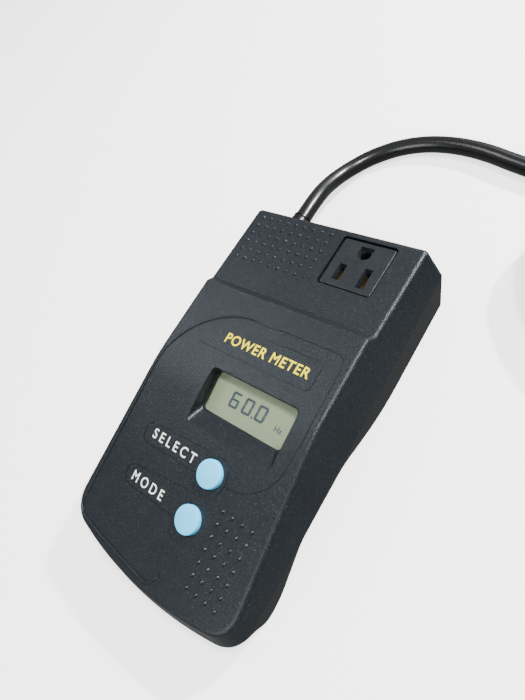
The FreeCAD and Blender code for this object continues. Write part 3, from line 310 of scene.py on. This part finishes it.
sheet = {"spread": (0, 0.06)}


def clearSheet(name, look):
    # smooth sheet or film, see-through as far as its cover leaves it so
    material, tree, place = startMaterial(name)
    fine, slow = addOutlook(tree, place, look)
    colour = addBlend(tree, slow, look["colour"], look["second"])
    shine = addShine(tree, fine, look, sheet["spread"])
    surface = {"Alpha": look["cover"], "IOR": look["ior"]}
    endMaterial(tree, surface, {"Base Color": colour, "Roughness": shine})
    return material


mask = {"gapWidth": 0.06, "relief": 0.3, "depth": 0.03, "detail": 3.0, "roughEnds": (0.25, 0.4), "ior": 1.5}


def solderMask(name, look):
    # lacquer over etched copper: tracks show as paler lines
    material, tree, place = startMaterial(name)
    fine = addNoise(tree, place, 1 / (look["grain"] * mm), mask["detail"])
    layout = {
        "Scale": 1 / (look["pitch"] * mm), "Mortar Size": mask["gapWidth"],
        "Color1": linear(look["colour"]), "Color2": linear(look["second"]), "Mortar": linear(look["track"]),
    }
    tracks = addNode(tree, "ShaderNodeTexBrick", layout, {"Vector": place}).outputs
    bump = addBump(tree, tracks["Fac"], mask["relief"], mask["depth"])
    shine = addRange(tree, fine, target=mask["roughEnds"])
    links = {"Base Color": tracks["Color"], "Roughness": shine, "Normal": bump}
    endMaterial(tree, {"IOR": mask["ior"]}, links)
    return material


# each finish: what it is, how it was made, and what that gives the eye
finishes = {
    "case_abs": (mouldedPlastic, "grained ABS, blue-black", {
        "colour": "#15181b", "second": "#121518", "grain": 0.45, "patch": 30, "relief": 0.9,
        # the glint colour is a painted highlight on the highest grains
        "rough": 0.34, "gloss": 0.4, "sheenTint": "#e2ecf4", "paintedGlint": "#484f55",
    }),
    "back_abs": (mouldedPlastic, "grained ABS, warm black", {
        "colour": "#0e0f10", "second": "#0f0e0d", "grain": 0.34, "patch": 30, "relief": 0.5,
        "rough": 0.5, "gloss": 0.25,
    }),
    "outlet_nylon": (mouldedPlastic, "moulded nylon, dark grey", {
        "colour": "#1b1d1f", "second": "#17191b", "grain": 0.3, "patch": 9, "relief": 0.7,
        # the glint colour is a painted highlight on the highest grains
        "rough": 0.34, "gloss": 0.4, "sheenTint": "#e2ecf4", "paintedGlint": "#454b50",
    }),
    "button_silicone": (mouldedPlastic, "moulded silicone, pale blue", {
        "colour": "#5cd0ff", "second": "#54c9fb", "grain": 0.3, "patch": 6, "relief": 0.08,
        "rough": 0.5, "gloss": 0.3,
    }),
    "plunger_acetal": (mouldedPlastic, "moulded acetal, natural", {
        "colour": "#d8d8d2", "second": "#cfcfc8", "grain": 0.3, "patch": 3, "relief": 0.05,
        "rough": 0.4,
    }),
    "holder_abs": (mouldedPlastic, "moulded ABS, off-white", {
        "colour": "#cfcfc9", "second": "#c4c4bd", "grain": 0.4, "patch": 8, "relief": 0.1, "rough": 0.5,
    }),
    "chip_epoxy": (mouldedPlastic, "transfer-moulded epoxy", {
        "colour": "#1c1c1e", "second": "#232325", "grain": 0.15, "patch": 3, "relief": 0.2,
        "rough": 0.55,
    }),
    "connector_nylon": (mouldedPlastic, "moulded nylon, cream", {
        "colour": "#e2ddcc", "second": "#d7d1be", "grain": 0.3, "patch": 4, "relief": 0.08,
        "rough": 0.45,
    }),
    "bobbin_nylon": (mouldedPlastic, "moulded glass-filled nylon", {
        "colour": "#d3cfc2", "second": "#c5c0b1", "grain": 0.3, "patch": 5, "relief": 0.12,
        "rough": 0.5,
    }),
    "terminal_nylon": (mouldedPlastic, "moulded nylon, green", {
        "colour": "#2f7d46", "second": "#2a7340", "grain": 0.3, "patch": 4, "relief": 0.08,
        "rough": 0.42,
    }),
    "capacitor_film": (mouldedPlastic, "potted film capacitor box", {
        "colour": "#d99a22", "second": "#cf901c", "grain": 0.25, "patch": 4, "relief": 0.06,
        "rough": 0.3,
    }),
    "capacitor_can": (mouldedPlastic, "shrunk vinyl sleeve, navy", {
        "colour": "#1f2a4a", "second": "#263257", "grain": 0.5, "patch": 3, "relief": 0.05,
        "rough": 0.28,
    }),
    "varistor_epoxy": (mouldedPlastic, "dipped epoxy, blue", {
        "colour": "#2257a3", "second": "#1d4e95", "grain": 0.8, "patch": 3, "relief": 0.15,
        "rough": 0.3,
    }),
    "cord_pvc": (mouldedPlastic, "extruded flexible PVC, black", {
        "colour": "#0a0a0b", "second": "#0d0e0f", "grain": 1.2, "patch": 14, "relief": 0.05,
        "rough": 0.27,
    }),
    "wire_black": (mouldedPlastic, "extruded PVC core, black", {
        "colour": "#161616", "second": "#1b1b1b", "grain": 0.6, "patch": 6, "relief": 0.04,
        "rough": 0.35,
    }),
    "wire_white": (mouldedPlastic, "extruded PVC core, white", {
        "colour": "#e8e7e2", "second": "#deddd6", "grain": 0.6, "patch": 6, "relief": 0.04,
        "rough": 0.35,
    }),
    "wire_green": (mouldedPlastic, "extruded PVC core, green", {
        "colour": "#1f8a3c", "second": "#1b7d36", "grain": 0.6, "patch": 6, "relief": 0.04,
        "rough": 0.35,
    }),
    "zinc_screw": (worked, "cold-headed steel, zinc plated", {
        "colour": "#c9cacb", "second": "#b4b6b8", "grain": 0.3, "patch": 2, "lines": (1, 1, 1),
        "relief": 0.15, "rough": 0.32,
    }),
    "tinned_can": (worked, "drawn steel can, tinned", {
        "colour": "#d0d0cc", "second": "#bdbdb8", "grain": 0.3, "patch": 3, "lines": (1, 1, 6),
        "relief": 0.1, "rough": 0.28,
    }),
    "clip_bronze": (worked, "stamped bronze, nickel plated", {
        "colour": "#c9bb98", "second": "#b9a983", "grain": 0.3, "patch": 3, "lines": (1, 5, 1),
        "relief": 0.1, "rough": 0.3,
    }),
    "shunt_strip": (worked, "rolled manganin strip", {
        "colour": "#a99378", "second": "#98836a", "grain": 0.3, "patch": 3, "lines": (1, 6, 6),
        "relief": 0.15, "rough": 0.38,
    }),
    "contact_brass": (worked, "stamped brass spring", {
        "colour": "#d9a652", "second": "#c79342", "grain": 0.3, "patch": 3, "lines": (6, 6, 1),
        "relief": 0.12, "rough": 0.3,
    }),
    "nickel_brass": (worked, "stamped brass, bright nickel", {
        "colour": "#d6d3c9", "second": "#c6c2b6", "grain": 0.3, "patch": 5, "lines": (1, 1, 7),
        "relief": 0.1, "rough": 0.2,
    }),
    "core_steel": (striped, "stacked varnished laminations", {
        "colour": "#5d5f61", "second": "#2e2f31", "worn": "#6e5a48", "pitch": 0.5, "across": "Y",
        "wander": 0.2, "grain": 0.4, "patch": 6, "relief": 0.5, "rough": 0.5, "metal": 0.8,
    }),
    "winding_tape": (striped, "wound polyester tape", {
        "colour": "#e2b22e", "second": "#c4921d", "worn": "#d1a53a", "pitch": 2.5, "across": "Z",
        "wander": 0.4, "grain": 0.4, "patch": 5, "relief": 0.3, "rough": 0.3, "metal": 0.0,
    }),
    "ribbon_pvc": (striped, "extruded flat ribbon", {
        "colour": "#a2a4a8", "second": "#74767a", "worn": "#97999c", "pitch": 1.27, "across": "X",
        "wander": 0.0, "grain": 0.4, "patch": 6, "relief": 0.5, "rough": 0.4, "metal": 0.0,
    }),
    "zebra_silicone": (striped, "layered conductive silicone", {
        "colour": "#b9b3a8", "second": "#1d1d1f", "worn": "#8f8a82", "pitch": 0.3, "across": "X",
        "wander": 0.0, "grain": 0.2, "patch": 4, "relief": 0.2, "rough": 0.6, "metal": 0.0,
    }),
    "tie_velcro": (striped, "woven hook-and-loop strap", {
        "colour": "#2a2b2d", "second": "#141415", "worn": "#37383a", "pitch": 0.5, "across": "Z",
        "wander": 1.0, "grain": 0.25, "patch": 3, "relief": 0.8, "rough": 0.85, "metal": 0.0,
    }),
    "clear_lens": (clearSheet, "polished acrylic window", {
        "colour": "#dfe6e2", "second": "#e6ece8", "grain": 2, "patch": 20, "rough": 0.04, "cover": 0.06,
        "ior": 1.49,
    }),
    "fuse_glass": (clearSheet, "drawn glass tube", {
        "colour": "#cfd6d2", "second": "#bfc6c2", "grain": 1, "patch": 5, "rough": 0.05, "cover": 0.45,
        "ior": 1.5,
    }),
    "lcd_glass": (clearSheet, "polarised liquid-crystal glass", {
        "colour": "#9fb083", "second": "#a7b78c", "grain": 0.4, "patch": 14, "rough": 0.3, "cover": 1.0,
        "ior": 1.5,
    }),
    "reflector_film": (clearSheet, "brushed reflector film", {
        "colour": "#b3b6a0", "second": "#a7ab94", "grain": 0.3, "patch": 6, "rough": 0.35, "cover": 1.0,
        "ior": 1.5,
    }),
    "circuit_board": (solderMask, "solder mask on fibreglass", {
        "colour": "#1d5c33", "second": "#20643a", "track": "#3b8a55", "grain": 0.3, "patch": 8,
        "pitch": 5.0,
    }),
    # printed and display inks
    "white_ink": (mouldedPlastic, "pad-printed ink, white", {
        "colour": "#f4f4f2", "second": "#e9e9e6", "grain": 0.4, "patch": 3, "relief": 0.1, "rough": 0.5,
    }),
    "yellow_ink": (mouldedPlastic, "pad-printed ink, yellow", {
        "colour": "#f2de00", "second": "#ead600", "grain": 0.4, "patch": 3, "relief": 0.1, "rough": 0.6,
        "gloss": 0.05,
    }),
    "segment_ink": (mouldedPlastic, "darkened liquid crystal", {
        "colour": "#1f3d50", "second": "#1b3646", "grain": 0.4, "patch": 2, "relief": 0.02,
        "rough": 0.35,
    }),
}

madeFinishes = {}
for slot, (maker, name, look) in finishes.items():
    madeFinishes[slot] = maker(name, look)


def dress(piece, slot):
    piece.data.materials.clear()
    piece.data.materials.append(madeFinishes[slot])


for part in frame["record"]["subparts"]:
    node = frame["nodes"][part["node"]]
    node.material_slots[0].material = madeFinishes[part["material_slot"]]
dress(leadPiece, "cord_pvc")
print("finishes on every part")

# tools for making pieces


def select(pieces):
    bpy.ops.object.select_all(action="DESELECT")
    for piece in pieces:
        piece.select_set(True)
    bpy.context.view_layer.objects.active = pieces[0]


def applyPlace(piece):
    select([piece])
    bpy.ops.object.transform_apply(location=True, rotation=True, scale=True)


def joinPieces(pieces, name):
    select(pieces)
    bpy.ops.object.join()
    made = bpy.context.object
    made.name = name
    applyPlace(made)
    return made


def bevelEdges(piece, chosen, width, steps):
    # chosen is asked about the two ends of each edge
    bpy.ops.object.mode_set(mode="EDIT")
    bpy.ops.mesh.select_all(action="DESELECT")
    bpy.ops.object.mode_set(mode="OBJECT")
    for edge in piece.data.edges:
        edge.select = chosen(*[piece.data.vertices[v].co for v in edge.vertices])
    bpy.ops.object.mode_set(mode="EDIT")
    bpy.ops.mesh.bevel(offset=width * mm, segments=steps)
    bpy.ops.object.mode_set(mode="OBJECT")


# the case's outer surface, where pieces are set on it
panel = {
    "tilt": 12.5,
    "upperTilt": 2.2,
    "bendY": -1.0,
    "bendZ": 42.2,
    "bendRadius": 100.0,
    "platform": 41.0,
}


def panelHeight(y):
    # two planes, joined by an arc
    away = y - panel["bendY"]
    tilt = panel["tilt"] if away < 0 else panel["upperTilt"]
    reach = panel["bendRadius"] * math.tan(math.radians(panel["tilt"] - panel["upperTilt"]) / 2)
    drop = max(reach - abs(away), 0) ** 2 / (2 * panel["bendRadius"])
    return panel["bendZ"] + math.tan(math.radians(tilt)) * away - drop


def panelPlace(x, up, out):
    # up runs along the lower plane from the bend, out stands square to it
    tilt = math.radians(panel["tilt"])
    return (
        x,
        panel["bendY"] + up * math.cos(tilt) - out * math.sin(tilt),
        panel["bendZ"] + up * math.sin(tilt) + out * math.cos(tilt),
    )


# the rounded bead on the panel's ridge; each corner has its radius

bead = {
    "radius": 0.5,
    "rise": 0.12,
    "corners": [
        (-6.0, 32.3, 0.0), (-43.8, 32.3, 39.0), (-45.2, -30.0, 300.0), (-47.4, -80.6, 6.0),
        (-28.0, -83.2, 150.0), (7.5, -85.6, 5.5), (10.4, -79.5, 0.0),
    ],
    "arcStep": 1.5,
    "straightStep": 4.5,
    "roundSteps": 3,
    "smoothAngle": 50,
}


def beadLine():
    # straight runs with a tangent arc at each corner, divided evenly
    line = [Vector(bead["corners"][0][:2])]
    for before, corner, after in zip(bead["corners"], bead["corners"][1:], bead["corners"][2:]):
        here = Vector(corner[:2])
        radius = corner[2]
        back = (Vector(before[:2]) - here).normalized()
        ahead = (Vector(after[:2]) - here).normalized()
        half = back.angle(ahead) / 2
        middle = here + (back + ahead).normalized() * (radius / math.sin(half))
        first = here + back * (radius / math.tan(half)) - middle
        turn = math.pi - 2 * half
        way = 1 if first.cross(-back) > 0 else -1
        count = max(2, math.ceil(turn * radius / bead["arcStep"]))
        for i in range(count + 1):
            angle = way * turn * i / count
            line.append(middle + Matrix.Rotation(angle, 2) @ first)
    line.append(Vector(bead["corners"][-1][:2]))
    divided = [line[0]]
    for start, end in zip(line, line[1:]):
        count = max(1, math.ceil((end - start).length / bead["straightStep"]))
        divided += [start.lerp(end, (i + 1) / count) for i in range(count)]
    return divided


def makeBead():
    points = [(place.x, place.y, panelHeight(place.y) + bead["rise"]) for place in beadLine()]
    made, spline = makeRod("panel_bead", "POLY", points, bead["radius"], bead["roundSteps"])
    select([made])
    bpy.ops.object.convert(target="MESH")
    made = bpy.context.object
    bpy.ops.object.shade_smooth_by_angle(angle=math.radians(bead["smoothAngle"]))
    dress(made, "case_abs")
    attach(made, "case")


makeBead()
print("bead made")

# grip dots

dots = {
    "radius": 1.0,
    "tip": 0.35,
    "proud": 0.85,
    "sunk": 0.15,
    "softness": 0.22,
    "softSteps": 2,
    "sides": 16,
    "smoothAngle": 60,
    "upperPitch": (5.23, 4.97),
    "upperFirst": (-41.05, 86.0),
    "upperCount": (9, 6),
    "lowerPitch": (5.23, 5.33),
    "lowerFirst": (24.8, -43.5),
    "lowerCount": (4, 7),
}


def makeDot():
    # a blunt cone with a softened tip, rooted a little below the surface
    tall = dots["proud"] + dots["sunk"]
    bpy.ops.mesh.primitive_cone_add(
        vertices=dots["sides"], radius1=dots["radius"] * mm, radius2=dots["tip"] * mm, depth=tall * mm,
        location=(0, 0, (tall / 2 - dots["sunk"]) * mm),
    )
    made = bpy.context.object
    applyPlace(made)
    bevelEdges(made, lambda start, end: start.z > 0 and end.z > 0, dots["softness"], dots["softSteps"])
    bpy.ops.object.shade_smooth_by_angle(angle=math.radians(dots["smoothAngle"]))
    return made


def makeDots(name, first, pitch, count, tilt, height):
    pattern = makeDot()
    copies = []
    for row in range(count[1]):
        for column in range(count[0]):
            copy = pattern.copy()
            copy.data = pattern.data.copy()
            bpy.context.scene.collection.objects.link(copy)
            y = first[1] - row * pitch[1]
            copy.location = [(first[0] + column * pitch[0]) * mm, y * mm, height(y) * mm]
            copy.rotation_euler[0] = math.radians(tilt)
            copies.append(copy)
    bpy.data.objects.remove(pattern)
    made = joinPieces(copies, name)
    dress(made, "case_abs")
    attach(made, "case")


makeDots(
    "upper_grip_dots", dots["upperFirst"], dots["upperPitch"], dots["upperCount"], 0,
    lambda y: panel["platform"],
)
makeDots(
    "lower_grip_dots", dots["lowerFirst"], dots["lowerPitch"], dots["lowerCount"], panel["tilt"],
    panelHeight,
)
print("grip dots made")

# printed words

inkThickness = 0.04
words = {
    "title": {
        "text": "POWER METER", "span": (-15.5, 31.5), "low": 17.6, "height": 4.9, "gap": 1.12,
        "weight": 0.018, "ink": "yellow_ink",
    },
    "select_label": {
        "text": "SELECT", "span": (-26.0, 1.5), "low": -34.8, "height": 4.6, "gap": 1.5,
        "weight": 0.01, "ink": "white_ink",
    },
    "mode_label": {
        "text": "MODE", "span": (-26.2, -5.6), "low": -55.3, "height": 4.7, "gap": 1.5,
        "weight": 0.01, "ink": "white_ink",
    },
}
unit = {
    "text": "Hz", "span": (24.9, 28.9), "low": -6.6, "height": 2.4, "gap": 1.0,
    "weight": 0.02, "ink": "segment_ink", "slot": "lcd_glass",
}
wordThickness = 0.01        # before it is scaled down to the ink's thickness


def makeWord(name, look, place, tilt):
    # set in type, then stretched to the span and height that it fills
    bpy.ops.object.text_add()
    made = bpy.context.object
    made.data.body = look["text"]
    made.data.space_character = look["gap"]
    made.data.extrude = wordThickness
    made.data.bevel_depth = look["weight"]
    made.data.bevel_resolution = 0
    bpy.ops.object.convert(target="MESH")
    made = bpy.context.object
    made.name = name
    low = [min(v.co[i] for v in made.data.vertices) for i in range(3)]
    high = [max(v.co[i] for v in made.data.vertices) for i in range(3)]
    wide = (look["span"][1] - look["span"][0]) * mm / (high[0] - low[0])
    tall = look["height"] * mm / (high[1] - low[1])
    made.location = [-low[0] * wide, -low[1] * tall, 0]
    made.scale = [wide, tall, inkThickness * mm / (high[2] - low[2])]
    applyPlace(made)
    made.rotation_euler[0] = math.radians(tilt)
    made.location = [v * mm for v in place]
    applyPlace(made)
    dress(made, look["ink"])
    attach(made, "case")


# display digits

display = {
    "depth": -8.17,         # just above the glass, measured square to the panel
    "digitSize": (4.9, 7.2),
    "firstX": -1.6,
    "pitch": 7.6,
    "low": -6.4,
    "stroke": 0.95,
    "gap": 0.35,
    "mitre": 0.45,          # part of the stroke
    "lean": 0.06,           # for each mm of height
    "digits": ("acdefg", "abcdef", "abcdef"),
    "pointLength": 1.3,
    "pointPitches": 1.85,   # from the first digit
    "pointHeight": 0.3,
}
# each segment's place in the digit's width and height, and whether it stands upright
segmentPlaces = {
    "a": (0.5, 1.0, 0), "g": (0.5, 0.5, 0), "d": (0.5, 0.0, 0),
    "f": (0.0, 0.75, 1), "b": (1.0, 0.75, 1), "e": (0.0, 0.25, 1), "c": (1.0, 0.25, 1),
}


def makeSegment(length):
    # a bar with mitred ends, as liquid-crystal segments are drawn
    bpy.ops.mesh.primitive_cube_add(size=1)
    made = bpy.context.object
    made.scale = ((length - display["gap"]) * mm, display["stroke"] * mm, inkThickness * mm)
    applyPlace(made)
    upright = inkThickness * mm / 2
    bevelEdges(
        made, lambda start, end: abs(start.z - end.z) > upright, display["stroke"] * display["mitre"], 1,
    )
    return made


def makeDigits():
    wide, tall = display["digitSize"]
    inset = display["stroke"] / 2
    bars = []
    for place, lit in enumerate(display["digits"]):
        for letter in lit:
            across, up, upright = segmentPlaces[letter]
            bar = makeSegment(tall / 2 if upright else wide)
            x = inset + across * (wide - 2 * inset)
            y = inset + up * (tall - 2 * inset)
            bar.rotation_euler[2] = math.radians(90 * upright)
            bar.location = [
                (display["firstX"] + place * display["pitch"] + x + y * display["lean"]) * mm,
                (display["low"] + y) * mm, 0,
            ]
            bars.append(bar)
    point = makeSegment(display["pointLength"])
    point.location = [
        (display["firstX"] + display["pointPitches"] * display["pitch"]) * mm,
        (display["low"] + display["pointHeight"]) * mm, 0,
    ]
    bars.append(point)
    made = joinPieces(bars, "display_digits")
    made.rotation_euler[0] = math.radians(panel["tilt"])
    made.location = [v * mm for v in panelPlace(0, 0, display["depth"])]
    applyPlace(made)
    dress(made, "segment_ink")
    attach(made, "case")


for name, look in words.items():
    low = look["low"]
    tilt = panel["tilt"] if low < panel["bendY"] else panel["upperTilt"]
    makeWord(name, look, (look["span"][0], low, panelHeight(low)), tilt)
makeWord("unit_label", unit, panelPlace(unit["span"][0], unit["low"], display["depth"]), panel["tilt"])
makeDigits()
print("words and digits made")

# floor and light

studio = {
    "floor": "#f4f4f2",
    "floorSize": 6,
    "glow": 2.0,
    "hazeScale": 3.0,
    "hazeDetail": 2.0,
    "floorRough": (0.6, 0.75),
    "skyColour": "#f0f3f6",
    "sky": 0.45,
    # each light's name, place, size and power
    "lights": [
        ("soft_top", (-0.70, 0.03, 1.00), 0.40, 4.5),
        ("edge_strip", (0.48, 0.30, 1.00), 0.14, 13.0),
        ("back_spark", (0.42, 0.94, 0.66), 0.05, 30.0),
        ("rear_strip", (0.05, 1.10, 0.60), 0.70, 3.0),
        ("front_fill", (0.1, -0.9, 0.8), 0.7, 9.0),
    ],
}


def makeFloor():
    bpy.ops.mesh.primitive_plane_add(size=studio["floorSize"])
    floor = bpy.context.object
    floor.name = "studio_floor"
    material, tree, place = startMaterial("painted floor board")
    haze = addNoise(tree, place, studio["hazeScale"], studio["hazeDetail"])
    surface = {
        "Base Color": linear(studio["floor"]),
        "Emission Color": linear(studio["floor"]),
        "Emission Strength": studio["glow"],
    }
    endMaterial(tree, surface, {"Roughness": addRange(tree, haze, target=studio["floorRough"])})
    floor.data.materials.append(material)
    # it doesn't light or mirror itself in the sides that face it
    floor.visible_diffuse = False
    floor.visible_glossy = False


def makeLights():
    world = bpy.data.worlds.new("soft_room")
    bpy.context.scene.world = world
    world.use_nodes = True
    backdrop = world.node_tree.nodes["Background"].inputs
    backdrop["Color"].default_value = linear(studio["skyColour"])
    backdrop["Strength"].default_value = studio["sky"]
    for name, place, size, power in studio["lights"]:
        bpy.ops.object.light_add(type="AREA", location=place)
        light = bpy.context.object
        light.name = name
        light.data.size = size
        light.data.energy = power
        light.rotation_euler = (-Vector(place)).to_track_quat("-Z", "Y").to_euler()


makeFloor()
makeLights()
print("studio made")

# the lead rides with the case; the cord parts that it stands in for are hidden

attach(leadPiece, "case")
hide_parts("power_cord", "cord_coil", "cord_tail")
